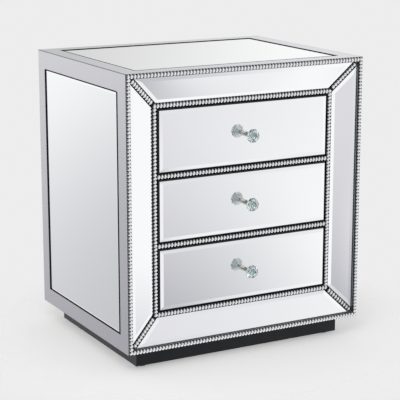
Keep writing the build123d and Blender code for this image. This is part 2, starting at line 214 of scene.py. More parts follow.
@dataclass(frozen=True)
class SilverPaint(Finish):
    """Satin metallic paint sprayed on fibreboard.

    The flakes give a soft sheen that mirrors the room as a blur, and are drawn coarser
    than life so that they show. Shade is painted into the coat: it is darker towards the
    floor. A darker grey line runs along the top's long edges. The frame's face is sprayed
    black first, so that only dark lines show between its mirrors and its trim.
    """

    cloud_size: float = 60.0
    flake_size: float = 2.2
    cloud_span: Span = (0.14, 0.40)
    cloud_colour: str = "#D3D3D7"
    peel_height: float = 0.008
    peel_strength: float = 0.6
    face_colour: str = "#0E1012"
    face_back_y: float = -182.0
    face_half_width: float = 279.2
    face_half_height: float = 288.2
    face_middle_z: float = 345.0
    glancing_colour: str = "#F6F6F8"
    painted_low_shade_colour: str = "#C6C6CA"
    arris_colour: str = "#77777C"
    arris_width: float = 1.6
    case_half_width: float = 290.0
    case_top: float = 644.0

    def arris(self, add: Adder, place: Socket) -> bpy.types.Node:
        """How much of a spot is on a long top edge, where a darker grey line runs.

        Args:
            add: Adds a node to the material's tree.
            place: The object coordinates.

        Returns:
            A node that gives 1 within the arris's width of both the top and a side, else 0.
        """
        parts = add("SeparateXYZ", {0: place}).outputs
        size = add("Math", {0: parts["X"]}, operation="ABSOLUTE")
        near = [
            add("Math", {0: value, 1: (reach - self.arris_width) * MM}, operation="GREATER_THAN")
            for value, reach in ((size, self.case_half_width), (parts["Z"], self.case_top))
        ]
        return add("Math", {0: near[0], 1: near[1]}, operation="MULTIPLY")

    def face(self, add: Adder, place: Socket) -> bpy.types.Node:
        """How much of a spot is frame face: 1 in front and inside the outer edges.

        Args:
            add: Adds a node to the material's tree.
            place: The object coordinates.

        Returns:
            A node that gives the share.
        """
        middle = (0.0, 0.0, -self.face_middle_z * MM)
        moved = add("VectorMath", {0: place, 1: middle}, operation="ADD")
        parts = add("SeparateXYZ", {0: moved}).outputs
        share: bpy.types.Node | float = 1.0
        for axis, reach in (("X", self.face_half_width), ("Z", self.face_half_height)):
            size = add("Math", {0: parts[axis]}, operation="ABSOLUTE")
            within = add("Math", {0: size, 1: reach * MM}, operation="LESS_THAN")
            share = add("Math", {0: share, 1: within}, operation="MULTIPLY")
        front = add("Math", {0: parts["Y"], 1: self.face_back_y * MM}, operation="LESS_THAN")
        return add("Math", {0: share, 1: front}, operation="MULTIPLY")

    def detail(self, add: Adder, place: Socket) -> Inputs:
        """Lays the coats over the clouds one by one, painted shade towards the floor among them,
        and adds orange peel.
        """
        clouds, flakes = (
            add("TexNoise", {"Vector": place, "Scale": per_size(size), "Detail": octaves})
            for size, octaves in ((self.cloud_size, 6.0), (self.flake_size, 2.0))
        )
        amount = add("Math", {0: clouds, 1: flakes}, operation="MULTIPLY")
        low, high = self.cloud_span
        flaked = add("MapRange", {"Value": amount, "From Min": low, "From Max": high})
        # Painted shade: the coat's colour darkens towards the floor.
        height = add("SeparateXYZ", {0: place}).outputs["Z"]
        falling = {"From Max": self.case_top * MM, "To Min": 1.0, "To Max": 0.0}
        painted_low_shade = add("MapRange", {"Value": height} | falling)
        face = self.face(add, place)
        coats = (
            (flaked, self.colour),
            # Painted shade, darker towards the floor.
            (painted_low_shade, self.painted_low_shade_colour),
            # A darker grey line along the top's long edges.
            (self.arris(add, place), self.arris_colour),
            (face, self.face_colour),
        )
        seen: bpy.types.Node | Colour = linear(self.cloud_colour)
        for share, colour in coats:
            seen = add("Mix", {0: share, 6: seen, 7: linear(colour)}, data_type="RGBA")
        shine = add("MapRange", {"Value": face, "To Min": self.metallic, "To Max": 0.0})
        peel = {"Distance": self.peel_height * MM, "Strength": self.peel_strength}
        return {
            "Base Color": seen,
            "Metallic": shine,
            "Normal": add("Bump", {"Height": flakes} | peel),
            "Specular Tint": linear(self.glancing_colour),
        }


@dataclass(frozen=True)
class PlatedTrim(Finish):
    """Moulded trim with a bright vacuum plating.

    The crowns flash. Shade is painted on: the trim is dark down between the beads and on
    the ribbon, and duller on one side of each bead.
    """

    painted_hollow_shade_colour: str = "#2E3235"
    painted_hollow_shade_end: float = 0.2
    polish_size: float = 3.0
    polish_span: Span = (0.6, 1.5)

    def detail(self, add: Adder, place: Socket) -> Inputs:
        """Paints shade down in the hollows and on one side of each bead, and varies its polish.
        """
        # Painted shade: the low relief of hollows, ribbon and one side of each bead turns dark.
        height = add("Attribute", attribute_name=RELIEF).outputs["Fac"]
        limits = {"From Min": 0.0, "From Max": self.painted_hollow_shade_end}
        share = add("MapRange", {"Value": height} | limits, interpolation_type="SMOOTHSTEP")
        ends = {6: linear(self.painted_hollow_shade_colour), 7: linear(self.colour)}
        colour = add("Mix", {0: share} | ends, data_type="RGBA")
        scale = per_size(self.polish_size)
        polish = add("TexNoise", {"Vector": place, "Scale": scale, "Detail": 3.0})
        low, high = (self.roughness * factor for factor in self.polish_span)
        spread = add("MapRange", {"Value": polish, "To Min": low, "To Max": high})
        return {"Base Color": colour, "Roughness": spread}


@dataclass(frozen=True)
class CutCrystal(Finish):
    """Clear crystal, cut and polished facet by facet.

    It is see-through with a cold tint, and each facet throws its own reflection.
    """

    tint: str = "#DDEBEA"
    streak_size: float = 14.0
    ior: float = 1.54

    def detail(self, add: Adder, place: Socket) -> Inputs:
        """Makes it clear, with its tint in slow streaks."""
        scale = per_size(self.streak_size)
        streaks = add("TexNoise", {"Vector": place, "Scale": scale, "Detail": 2.0})
        ends = {6: linear(self.tint), 7: linear(self.colour)}
        colour = add("Mix", {0: streaks} | ends, data_type="RGBA")
        return {"Base Color": colour, "Transmission Weight": 1.0, "IOR": self.ior}


@dataclass(frozen=True)
class TurnedMetal(Finish):
    """Metal turned on a lathe, then polished and plated.

    Fine rings from the cutter catch the light across its length. They are drawn wider
    than a cutter leaves them, so that they show.
    """

    ring_pitch: float = 0.7
    ring_depth: float = 0.02
    ring_strength: float = 0.5
    ring_waver: float = 0.4

    def detail(self, add: Adder, place: Socket) -> Inputs:
        """Cuts the rings, square to the axis that runs out of the drawer."""
        wave = {"Scale": per_band(self.ring_pitch), "Distortion": self.ring_waver}
        rings = add("TexWave", {"Vector": place} | wave, bands_direction="Y").outputs["Fac"]
        cut = {"Distance": self.ring_depth * MM, "Strength": self.ring_strength}
        return {"Normal": add("Bump", {"Height": rings} | cut)}


@dataclass(frozen=True)
class SprayedPaint(Finish):
    """Dark satin paint sprayed on fibreboard.

    It is even and nearly black, with a slight orange peel and a little settled dust.
    """

    dust_colour: str = "#1E2025"
    sheen: float = 0.25
    dust_size: float = 45.0
    dust_span: Span = (0.4, 0.8)
    peel_size: float = 1.8
    peel_height: float = 0.02
    peel_strength: float = 0.5

    def detail(self, add: Adder, place: Socket) -> Inputs:
        """Adds the dust in patches and the orange peel."""
        dust, grain = (
            add("TexNoise", {"Vector": place, "Scale": per_size(size), "Detail": octaves})
            for size, octaves in ((self.dust_size, 8.0), (self.peel_size, 1.0))
        )
        low, high = self.dust_span
        share = add("MapRange", {"Value": dust, "From Min": low, "From Max": high})
        ends = {6: linear(self.colour), 7: linear(self.dust_colour)}
        peel = {"Distance": self.peel_height * MM, "Strength": self.peel_strength}
        return {
            "Base Color": add("Mix", {0: share} | ends, data_type="RGBA"),
            "Normal": add("Bump", {"Height": grain} | peel),
            "Specular IOR Level": self.sheen,
        }


@dataclass(frozen=True)
class PressedFibre(Finish):
    """Bare board pressed from wood fibre.

    Short fibres, lighter and darker, show in its matt face.
    """

    fibre_size: float = 1.6
    fibre_colour: str = "#8F7752"
    fibre_draw: tuple[float, float, float] = (0.35, 1.0, 0.5)
    fibre_bend: float = 1.2
    fibre_height: float = 0.05
    fibre_strength: float = 0.5

    def detail(self, add: Adder, place: Socket) -> Inputs:
        """Draws the fibres out across the case, less so upwards, and bends them."""
        drawn = add("Mapping", {"Vector": place, "Scale": self.fibre_draw})
        shape = {"Scale": per_size(self.fibre_size), "Detail": 6.0, "Distortion": self.fibre_bend}
        fibres = add("TexNoise", {"Vector": drawn} | shape)
        ends = {6: linear(self.fibre_colour), 7: linear(self.colour)}
        raised = {"Distance": self.fibre_height * MM, "Strength": self.fibre_strength}
        return {
            "Base Color": add("Mix", {0: fibres} | ends, data_type="RGBA"),
            "Normal": add("Bump", {"Height": fibres} | raised),
        }


@dataclass(frozen=True)
class LinenFoil(Finish):
    """Printed foil wrapped round fibreboard.

    Its matt grey has the crossed threads of a linen print, drawn coarser than the print
    so that they show.
    """

    thread_pitch: float = 1.5
    thread_colour: str = "#7C7C81"
    thread_waver: float = 1.6
    waver_scale: float = 1.5

    def detail(self, add: Adder, place: Socket) -> Inputs:
        """Crosses three sets of threads, so that each face of a board shows two."""
        wave = {
            "Vector": place,
            "Scale": per_band(self.thread_pitch),
            "Distortion": self.thread_waver,
            "Detail": 3.0,
            "Detail Scale": self.waver_scale,
        }
        x, y, z = (add("TexWave", wave, bands_direction=axis).outputs["Fac"] for axis in "XYZ")
        pair = add("Math", {0: x, 1: y}, operation="MULTIPLY")
        cloth = add("Math", {0: pair, 1: z}, operation="MAXIMUM")
        ends = {6: linear(self.thread_colour), 7: linear(self.colour)}
        return {"Base Color": add("Mix", {0: cloth} | ends, data_type="RGBA")}


@dataclass(frozen=True)
class ZincSteel(Finish):
    """Cold rolled steel with a bright zinc plating.

    The rolling leaves faint streaks along the strip.
    """

    streak_size: float = 2.5
    streak_draw: tuple[float, float, float] = (1.0, 0.06, 1.0)
    gloss_span: Span = (0.7, 1.4)

    def detail(self, add: Adder, place: Socket) -> Inputs:
        """Draws the streaks out along the case's depth."""
        drawn = add("Mapping", {"Vector": place, "Scale": self.streak_draw})
        scale = per_size(self.streak_size)
        streaks = add("TexNoise", {"Vector": drawn, "Scale": scale, "Detail": 4.0})
        low, high = (self.roughness * factor for factor in self.gloss_span)
        return {"Roughness": add("MapRange", {"Value": streaks, "To Min": low, "To Max": high})}


@dataclass(frozen=True)
class MouldedPlastic(Finish):
    """Black plastic moulded in a spark-eroded tool.

    Its matt face has an even grain, drawn coarser than the tool leaves it so that it shows.
    """

    grain_size: float = 0.9
    grain_height: float = 0.05
    grain_strength: float = 0.6

    def detail(self, add: Adder, place: Socket) -> Inputs:
        """Raises the grain."""
        grain = add("TexVoronoi", {"Vector": place, "Scale": per_size(self.grain_size)})
        raised = {"Distance": self.grain_height * MM, "Strength": self.grain_strength}
        return {"Normal": add("Bump", {"Height": grain} | raised)}


@dataclass(frozen=True)
class MattRubber(Finish):
    """Near-black rubber with a dull skin, used for the strips that paint shade round the mirrors.

    It swallows nearly all light, with faint grey bloom in patches.
    """

    bloom_colour: str = "#1B1C1E"
    bloom_size: float = 9.0
    sheen: float = 0.1

    def detail(self, add: Adder, place: Socket) -> Inputs:
        """Dulls the skin and adds the bloom."""
        scale = per_size(self.bloom_size)
        bloom = add("TexNoise", {"Vector": place, "Scale": scale, "Detail": 4.0})
        ends = {6: linear(self.colour), 7: linear(self.bloom_colour)}
        colour = add("Mix", {0: bloom} | ends, data_type="RGBA")
        return {"Base Color": colour, "Specular IOR Level": self.sheen}


@dataclass(frozen=True)
class FoiledBack(Finish):
    """Silvering on the back facets of cut crystal, under a dull protective lacquer.

    From behind it is a pale, half metallic grey; through the crystal it makes the sparkle.
    """

    streak_size: float = 5.0
    gloss_span: Span = (0.5, 1.6)

    def detail(self, add: Adder, place: Socket) -> Inputs:
        """Varies the lacquer's gloss."""
        scale = per_size(self.streak_size)
        streaks = add("TexNoise", {"Vector": place, "Scale": scale, "Detail": 3.0})
        low, high = (self.roughness * factor for factor in self.gloss_span)
        return {"Roughness": add("MapRange", {"Value": streaks, "To Min": low, "To Max": high})}


class Slot(Enum):
    """The record's material slots, by the name that the record gives them."""

    SILVER_PAINT = "silver_paint"
    BLACK_PAINT = "black_paint"
    BACK_BOARD = "back_board"
    DRAWER_BOX = "drawer_box"
    CASE_BOARD = "case_board"
    MIRROR_GLASS = "mirror_glass"
    BEADING = "beading"
    RUNNER_STEEL = "runner_steel"
    CRYSTAL = "crystal"
    FERRULE = "ferrule"
    SCREW_STEEL = "screw_steel"
    FOOT_PLASTIC = "foot_plastic"


FINISHES = {
    Slot.SILVER_PAINT: SilverPaint("silver_paint_sprayed", "#D5D5D9", 0.2, 0.95),
    Slot.BLACK_PAINT: SprayedPaint("black_paint_sprayed", "#16181C", 0.32),
    Slot.BACK_BOARD: SprayedPaint("back_board_painted", "#57595D", 0.55, 0.0, "#66686C"),
    Slot.DRAWER_BOX: LinenFoil("grey_foil_wrapped", "#96969A", 0.55),
    Slot.CASE_BOARD: PressedFibre("fibreboard_pressed", "#B49B73", 0.8),
    Slot.MIRROR_GLASS: SilveredGlass("mirror_glass_silvered", "#F9FAFB", 0.01, 1.0),
    Slot.BEADING: PlatedTrim("bead_trim_plated", "#F4F4F5", 0.1, 1.0),
    Slot.RUNNER_STEEL: ZincSteel("runner_steel_zinc_plated", "#B9BCC1", 0.32, 1.0),
    Slot.CRYSTAL: CutCrystal("crystal_cut", "#F6FAFA", 0.0),
    Slot.FERRULE: TurnedMetal("ferrule_turned_plated", "#DAD8D1", 0.13, 1.0),
    Slot.SCREW_STEEL: ZincSteel("screw_steel_zinc_plated", "#BDBDC0", 0.3, 1.0),
    Slot.FOOT_PLASTIC: MouldedPlastic("foot_plastic_moulded", "#262628", 0.6),
}

SHADE_STRIP_RUBBER = MattRubber("painted_shade_strip_rubber", "#0A0B0C", 0.7)
CRYSTAL_FOIL = FoiledBack("crystal_back_silvered", "#E6EDEC", 0.3, 0.5)


@dataclass
class Wardrobe:
    """The materials made so far, each made once for its finish."""

    made: dict[str, bpy.types.Material] = field(default_factory=dict)

    def finished(self, finish: Finish) -> bpy.types.Material:
        """The material of a finish, made when it is first asked for."""
        if finish.name not in self.made:
            self.made[finish.name] = finish.build()
        return self.made[finish.name]

    def material(self, slot: Slot) -> bpy.types.Material:
        """The material of a slot."""
        return self.finished(FINISHES[slot])

    def dress(self, nodes: Iterable[str], slot: Slot) -> None:
        """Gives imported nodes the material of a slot.

        Args:
            nodes: The nodes' names.
            slot: The slot whose finish they get.
        """
        for node in nodes:
            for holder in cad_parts[node].material_slots:
                holder.material = self.material(slot)
            log.info("dressed %s with %s", node, slot.value)


# Surfaces


@dataclass
class Surface:
    """A mesh as whole arrays, in millimetres.

    Relief is how far each point stands up from its piece's ground, from 0 to 1. On the
    beads it is also lowered on one side, and the trim paints shade where it is low.
    """

    points: np.ndarray
    quads: np.ndarray
    triangles: np.ndarray
    relief: np.ndarray

    def repeated(self, places: np.ndarray, axes: np.ndarray) -> "Surface":
        """Copies of the surface, each at its own place and turned to its own axes.

        Args:
            places: Where each copy's origin goes, one row a copy.
            axes: Where its x, y and z of length 1 end up: three rows, or three rows a copy.

        Returns:
            One surface with all the copies.
        """
        axes = np.broadcast_to(axes, (len(places), 3, 3))
        points = np.einsum("pi,kij->kpj", self.points, axes) + places[:, None]
        first = np.arange(len(places))[:, None, None] * len(self.points)
        return Surface(
            points.reshape(-1, 3),
            (self.quads[None] + first).reshape(-1, 4),
            (self.triangles[None] + first).reshape(-1, 3),
            np.tile(self.relief, len(places)),
        )


def joined(surfaces: Iterable[Surface]) -> Surface:
    """One surface made of several.

    Args:
        surfaces: The surfaces, which stay as they are.

    Returns:
        A surface with all their points and faces.
    """
    surfaces = list(surfaces)
    counts = [len(surface.points) for surface in surfaces]
    firsts = np.cumsum([0, *counts[:-1]])
    return Surface(
        np.concatenate([surface.points for surface in surfaces]),
        np.concatenate([s.quads + first for s, first in zip(surfaces, firsts)]),
        np.concatenate([s.triangles + first for s, first in zip(surfaces, firsts)]),
        np.concatenate([surface.relief for surface in surfaces]),
    )


def turned(radii: np.ndarray, heights: np.ndarray, segments: int) -> Surface:
    """A turned surface about z, closed by a pole at each end.

    A point lies at (r cos a, r sin a, h), where r and h come from the profile and a is
    the same share of a full turn for each segment. The first and last point of the
    profile lie on the axis and become the poles.

    Args:
        radii: The profile's distances from the axis, zero at both ends.
        heights: The profile's heights, from the lower pole to the upper one.
        segments: How many steps the turn is divided into.

    Returns:
        The surface, with its relief running from 0 at the bottom to 1 at the top.
    """
    angles = 2 * np.pi * np.arange(segments) / segments
    rings = len(radii) - 2
    r = radii[1:-1, None]
    h = np.broadcast_to(heights[1:-1, None], (rings, segments))
    body = np.stack([r * np.cos(angles), r * np.sin(angles), h], axis=-1).reshape(-1, 3)
    poles = np.array([[0, 0, heights[0]], [0, 0, heights[-1]]])
    here = np.arange(segments)
    onward = (here + 1) % segments
    starts = np.arange(rings - 1)[:, None] * segments
    quads = np.stack(
        [starts + here, starts + onward, starts + onward + segments, starts + here + segments],
        axis=-1,
    ).reshape(-1, 4)
    low_pole = np.full(segments, rings * segments)
    top = (rings - 1) * segments
    triangles = np.concatenate(
        [
            np.stack([onward, here, low_pole], axis=-1),
            np.stack([top + here, top + onward, low_pole + 1], axis=-1),
        ]
    )
    points = np.concatenate([body, poles])
    span = max(float(np.ptp(heights)), 1e-9)
    return Surface(points, quads, triangles, (points[:, 2] - heights.min()) / span)


def carried(
    section: np.ndarray, places: np.ndarray, across: np.ndarray, out: np.ndarray, closed: bool
) -> Surface:
    """A section carried along a path.

    A point lies at place + u * across + v * out, for each place of the path and each
    (u, v) of the section. A closed path joins its last place to its first one, and an
    open one is closed by a flat face at each end.

    Args:
        section: The outline's (u, v), counter-clockwise as seen against the path.
        places: The path's places, one a row.
        across: The direction of u, longer at a mitre: one for all places, or one a row.
        out: The direction of v, in the same way.
        closed: Whether the path closes on itself.

    Returns:
        The surface, with no relief.
    """
    across, out = (np.broadcast_to(way, places.shape)[:, None] for way in (across, out))
    points = places[:, None] + section[None, :, :1] * across + section[None, :, 1:] * out
    count, sides = points.shape[:2]
    here = np.arange(sides)[None]
    onward = (here + 1) % sides
    starts = np.arange(count if closed else count - 1)[:, None] * sides
    ends = (starts + sides) % (count * sides)
    quads = np.stack([starts + here, starts + onward, ends + onward, ends + here], axis=-1)
    triangles = np.empty((0, 3), int)
    if not closed:
        fan = np.stack([np.zeros(sides - 2, int), here[0, 2:], here[0, 1:-1]], axis=-1)
        triangles = np.concatenate([fan, fan[:, ::-1] + (count - 1) * sides])
    relief = np.zeros(count * sides)
    return Surface(points.reshape(-1, 3), quads.reshape(-1, 4), triangles, relief)


def faceted(radii: np.ndarray, heights: np.ndarray, turns: np.ndarray, sides: int) -> Surface:
    """A cut stone about z, from rings of corners joined by flat triangles.

    Corner k of a ring lies at (r cos a, r sin a, h), where a is (k + turn) steps of the
    full turn divided by the number of sides. Each ring is turned half a step from the
    last one, or not at all, and the end rings are closed by flat faces.

    Args:
        radii: Each ring's radius.
        heights: Each ring's height, rising, or falling again inside a shell.
        turns: Each ring's turn in steps, 0 or 0.5.
        sides: How many corners a ring has.

    Returns:
        The surface, with no relief.
    """
    steps = (np.arange(sides)[None] + turns[:, None]) * 2 * np.pi / sides
    r = radii[:, None]
    h = np.broadcast_to(heights[:, None], steps.shape)
    body = np.stack([r * np.cos(steps), r * np.sin(steps), h], axis=-1).reshape(-1, 3)
    poles = np.array([[0, 0, heights[0]], [0, 0, heights[-1]]])
    here = np.arange(sides)
    onward = (here + 1) % sides
    faces = []
    for ring, (turn, next_turn) in enumerate(zip(turns[:-1], turns[1:])):
        low = ring * sides
        high = low + sides
        if next_turn >= turn:
            faces.append(np.stack([low + here, low + onward, high + here], axis=-1))
            faces.append(np.stack([low + onward, high + onward, high + here], axis=-1))
        else:
            faces.append(np.stack([low + here, high + onward, high + here], axis=-1))
            faces.append(np.stack([low + here, low + onward, high + onward], axis=-1))
    first_pole = np.full(sides, len(radii) * sides)
    last = (len(radii) - 1) * sides
    faces.append(np.stack([onward, here, first_pole], axis=-1))
    faces.append(np.stack([last + here, last + onward, first_pole + 1], axis=-1))
    points = np.concatenate([body, poles])
    quads = np.empty((0, 4), int)
    return Surface(points, quads, np.concatenate(faces), np.zeros(len(points)))


def add_piece(
    name: str,
    surface: Surface,
    material: bpy.types.Material,
    body: str,
    replaces: Iterable[str] = (),
    crease: float | None = SOFT_CREASE,
) -> bpy.types.Object:
    """Makes a piece of the object from a surface.

    Args:
        name: The piece's name.
        surface: Its surface, in millimetres in the model's frame.
        material: Its material.
        body: The body that it moves with.
        replaces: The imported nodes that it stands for.
        crease: Edges sharper than this many degrees stay sharp; None keeps facets flat.

    Returns:
        The new object.
    """
    mesh = bpy.data.meshes.new(name)
    faces = [*surface.quads.tolist(), *surface.triangles.tolist()]
    mesh.from_pydata((surface.points * MM).tolist(), [], faces)
    relief = mesh.attributes.new(RELIEF, "FLOAT", "POINT")
    relief.data.foreach_set("value", surface.relief.astype(np.float32))
    if crease is None:
        mesh.shade_flat()
    else:
        mesh.shade_smooth()
        mesh.set_sharp_from_angle(angle=math.radians(crease))
    mesh.materials.append(material)
    mesh.validate()
    piece = bpy.data.objects.new(name, mesh)
    bpy.context.scene.collection.objects.link(piece)
    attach(piece, body)
    if replaces:
        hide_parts(*replaces)
    log.info("built %s: %d faces, rides on %s", name, len(faces), body)
    return piece


# The object's sub-assemblies

FORWARDS = np.array([0.0, -1.0, 0.0])


@dataclass
class Case:
    """The mirrored case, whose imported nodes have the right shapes."""

    sides: tuple[str, ...] = ("top", "bottom", "left", "right")

    def dress(self, wardrobe: Wardrobe) -> None:
        """Gives the frame, panels, rails, plinth and case runners their finishes.

        Args:
            wardrobe: The materials.
        """
        members = [f"frame_{side}" for side in self.sides]
        mirrors = [f"frame_mirror_{side}" for side in self.sides]
        mirrors += ["left_side_mirror", "right_side_mirror", "top_mirror"]
        plinth = ["plinth_front", "plinth_back", "plinth_ends"]
        outfits = {
            Slot.SILVER_PAINT: [*members, "left_side", "right_side", "top_panel"],
            Slot.MIRROR_GLASS: mirrors,
            Slot.BLACK_PAINT: ["lower_rail", "upper_rail", *plinth],
            Slot.BACK_BOARD: ["back_panel"],
            Slot.CASE_BOARD: ["bottom_panel", "inner_panels", "plinth_corner_blocks"],
            Slot.RUNNER_STEEL: ["case_runners"],
        }
        for slot, nodes in outfits.items():
            wardrobe.dress(nodes, slot)


@dataclass
class BeadTrim:
    """The plated trim: beads in a row on a ribbon, round the frame, its mitres and rails."""

    half_width: float = 290.0
    middle_z: float = 345.0
    half_height: float = 299.0
    front_y: float = -215.0
    land_depth: float = 19.0
    inner_land_start: float = 67.5
    ribbon_width: float = 9.9
    ribbon_thickness: float = 1.2
    ribbon_round: float = 0.4
    outer_inset: float = 0.3
    inner_inset: float = 1.2
    pitch: float = 7.6
    bead_length: float = 7.6
    bead_width: float = 9.8
    bead_height: float = 3.6
    foot_share: float = 0.97
    sunk_share: float = 0.3
    wall_share: float = 0.36
    cap_angle: float = 62.0
    cap_rings: int = 4
    around: int = 16
    outer_lean: float = 12.0
    # Painted shade: the side of each bead that this points to is darkened.
    painted_shade_side: tuple[float, float, float] = (-0.8, 0.0, 0.6)
    painted_shade_side_span: Span = (-0.15, 0.35)
    painted_shade_side_relief: float = 0.105
    mitre_start: float = 10.6
    mitre_gap: float = 0.5
    mitre_thickness: float = 3.4
    slope_depths: Span = (7.1, 21.2)
    rail_half_length: float = 211.0
    rail_middles: tuple[float, ...] = (270.0, 420.0)

    def bead(self) -> Surface:
        """One bead of unit size: a low upright wall with a rounded cap on it.

        The cap's radius goes with sin t and its height with cos t, where t falls from the
        cap's angle at the wall to nothing at the crown. Its foot is sunk in the ribbon.

        Returns:
            The bead, its relief its height.
        """
        edge = np.radians(self.cap_angle)
        slope = edge * np.linspace(1, 0, self.cap_rings, endpoint=False)
        swell = (np.cos(slope) - np.cos(edge)) / (1 - np.cos(edge))
        radii = np.concatenate([[0, self.foot_share], np.sin(slope) / np.sin(edge), [0]])
        cap = self.wall_share + (1 - self.wall_share) * swell
        heights = np.concatenate([[-self.sunk_share, -self.sunk_share], cap, [1]])
        dome = turned(radii, heights, self.around)
        dome.relief = np.clip(dome.points[:, 2], 0, 1)
        return dome

    def section(self, seat: list[list[float]], thickness: float) -> np.ndarray:
        """A ribbon's outline, with its front edges eased by a small flat.

        Args:
            seat: The first corners of its seat, in the outline's order.
            thickness: How far its front stands out.

        Returns:
            The outline's (u, v), counter-clockwise, from the seat to the front's left end.
        """
        half, ease = self.ribbon_width / 2, self.ribbon_round
        front = [[half, thickness - ease], [half - ease, thickness]]
        front += [[ease - half, thickness], [-half, thickness - ease]]
        return np.array([*seat, *front])

    def flat_section(self) -> np.ndarray:
        """The outline of a ribbon that lies on a flat land."""
        half = self.ribbon_width / 2
        return self.section([[-half, 0], [half, 0]], self.ribbon_thickness)

    def row(
        self, start: np.ndarray, end: np.ndarray, out: np.ndarray, count: int, inside: bool
    ) -> Surface:
        """Beads spaced evenly along a line.

        A bead's relief falls off towards one side, so that the trim paints shade there.

        Args:
            start: Where the line starts, on the ribbon's face.
            end: Where it ends.
            out: The direction that the beads stand out in.
            count: How many spaces the line is divided into.
            inside: True for a bead in each space, False for one at each space's start.

        Returns:
            The beads, each turned so that its length lies along the line.
        """
        line = end - start
        shares = (np.arange(count) + (0.5 if inside else 0)) / count
        along = line / np.linalg.norm(line)
        sizes = np.array([self.bead_length / 2, self.bead_width / 2, self.bead_height])
        axes = np.stack([along, np.cross(out, along), out]) * sizes[:, None]
        places = start + shares[:, None] * line
        beads = self.bead().repeated(places, axes)
        middles = np.repeat(places, len(beads.points) // count, axis=0)
        # Lowers the relief towards one side of each bead, for its painted shade.
        toward_painted_shade = (beads.points - middles) @ np.array(self.painted_shade_side) / (self.bead_width / 2)
        low, high = self.painted_shade_side_span
        share = np.clip((toward_painted_shade - low) / (high - low), 0, 1)
        beads.relief = np.minimum(beads.relief, 1 - (1 - self.painted_shade_side_relief) * share)
        return beads

    def strip(
        self, section: np.ndarray, ends: np.ndarray, out: np.ndarray, thickness: float
    ) -> Surface:
        """A straight length of trim.

        Args:
            section: The ribbon's outline.
            ends: Where the ribbon's seat starts and ends.
            out: The direction that it stands out in.
            thickness: How far its front stands out.

        Returns:
            The ribbon and its beads.
        """
        line = ends[1] - ends[0]
        length = float(np.linalg.norm(line))
        ribbon = carried(section, ends, np.cross(out, line / length), out, False)
        start, end = ends + out * thickness
        return joined([ribbon, self.row(start, end, out, round(length / self.pitch), True)])

    def ring(self, inset: float, depth: float, lean: float) -> Surface:
        """A closed ring of trim round the frame, with a bead on each corner.

        Args:
            inset: How far the ribbon's outer edge lies in from the frame's outer edge.
            depth: How far its seat lies back from the frame's front.
            lean: The angle in degrees by which its beads lean outwards.

        Returns:
            The ribbon and its beads.
        """
        middle = inset + self.ribbon_width / 2
        reach = np.array([self.half_width - middle, 0.0, self.half_height - middle])
        signs = np.array([[-1.0, 0, -1], [-1, 0, 1], [1, 0, 1], [1, 0, -1]])
        corners = np.array([0.0, self.front_y + depth, self.middle_z]) + signs * reach
        parts = [carried(self.flat_section(), corners, signs, FORWARDS, True)]
        face = corners + FORWARDS * self.ribbon_thickness
        slant = math.radians(lean)
        for start, end in zip(face, np.roll(face, -1, axis=0)):
            length = float(np.linalg.norm(end - start))
            outwards = np.cross(FORWARDS, (end - start) / length)
            leaning = FORWARDS * math.cos(slant) + outwards * math.sin(slant)
            parts.append(self.row(start, end, leaning, round(length / self.pitch), False))
        return joined(parts)

    def mitre(self, side: int, level: int) -> Surface:
        """The trim down one mitre, its underside shaped to the valley it lies in.

        Args:
            side: -1 for the left mitres, 1 for the right ones.
            level: -1 for the bottom mitres, 1 for the top ones.

        Returns:
            The ribbon and its beads.
        """
        fall = self.slope_depths[1] - self.slope_depths[0]
        reach = self.inner_land_start - self.mitre_start
        half = self.ribbon_width / 2
        begin = self.mitre_gap + half / math.sqrt(2)
        finish = reach - self.mitre_gap
        inwards = np.array([-side, fall / reach, -level])
        valley_start = np.array(
            [
                side * (self.half_width - self.mitre_start),
                self.front_y + self.slope_depths[0],
                self.middle_z + level * (self.half_height - self.mitre_start),
            ]
        )
        ends = valley_start + np.array([[begin], [finish]]) * inwards
        along = inwards / np.linalg.norm(inwards)
        out = FORWARDS - along * (FORWARDS @ along)
        rise = half / math.sqrt(2) * fall / reach
        seated = self.section([[0, 0], [half, rise]], self.mitre_thickness)
        outline = np.vstack([seated, [-half, rise]])
        return self.strip(outline, ends, out / np.linalg.norm(out), self.mitre_thickness)

    def rail(self, z: float) -> Surface:
        """The trim along the front edge of a rail.

        Args:
            z: The height of the rail's middle.

        Returns:
            The ribbon and its beads.
        """
        seat_y = self.front_y + self.land_depth
        ends = np.array([[way * self.rail_half_length, seat_y, z] for way in (1, -1)])
        return self.strip(self.flat_section(), ends, FORWARDS, self.ribbon_thickness)

    def build(self, wardrobe: Wardrobe) -> None:
        """Builds the four sets of trim.

        Args:
            wardrobe: The materials.
        """
        inner = self.inner_land_start + self.inner_inset
        sets = {
            "outer": self.ring(self.outer_inset, 0, self.outer_lean),
            "inner": self.ring(inner, self.land_depth, 0),
            "mitre": joined(self.mitre(side, level) for side in (-1, 1) for level in (-1, 1)),
            "rail": joined(self.rail(z) for z in self.rail_middles),
        }
        material = wardrobe.material(Slot.BEADING)
        for name, surface in sets.items():
            nodes = [f"{name}_beading"]
            add_piece(f"{name}_bead_trim", surface, material, "case", nodes)


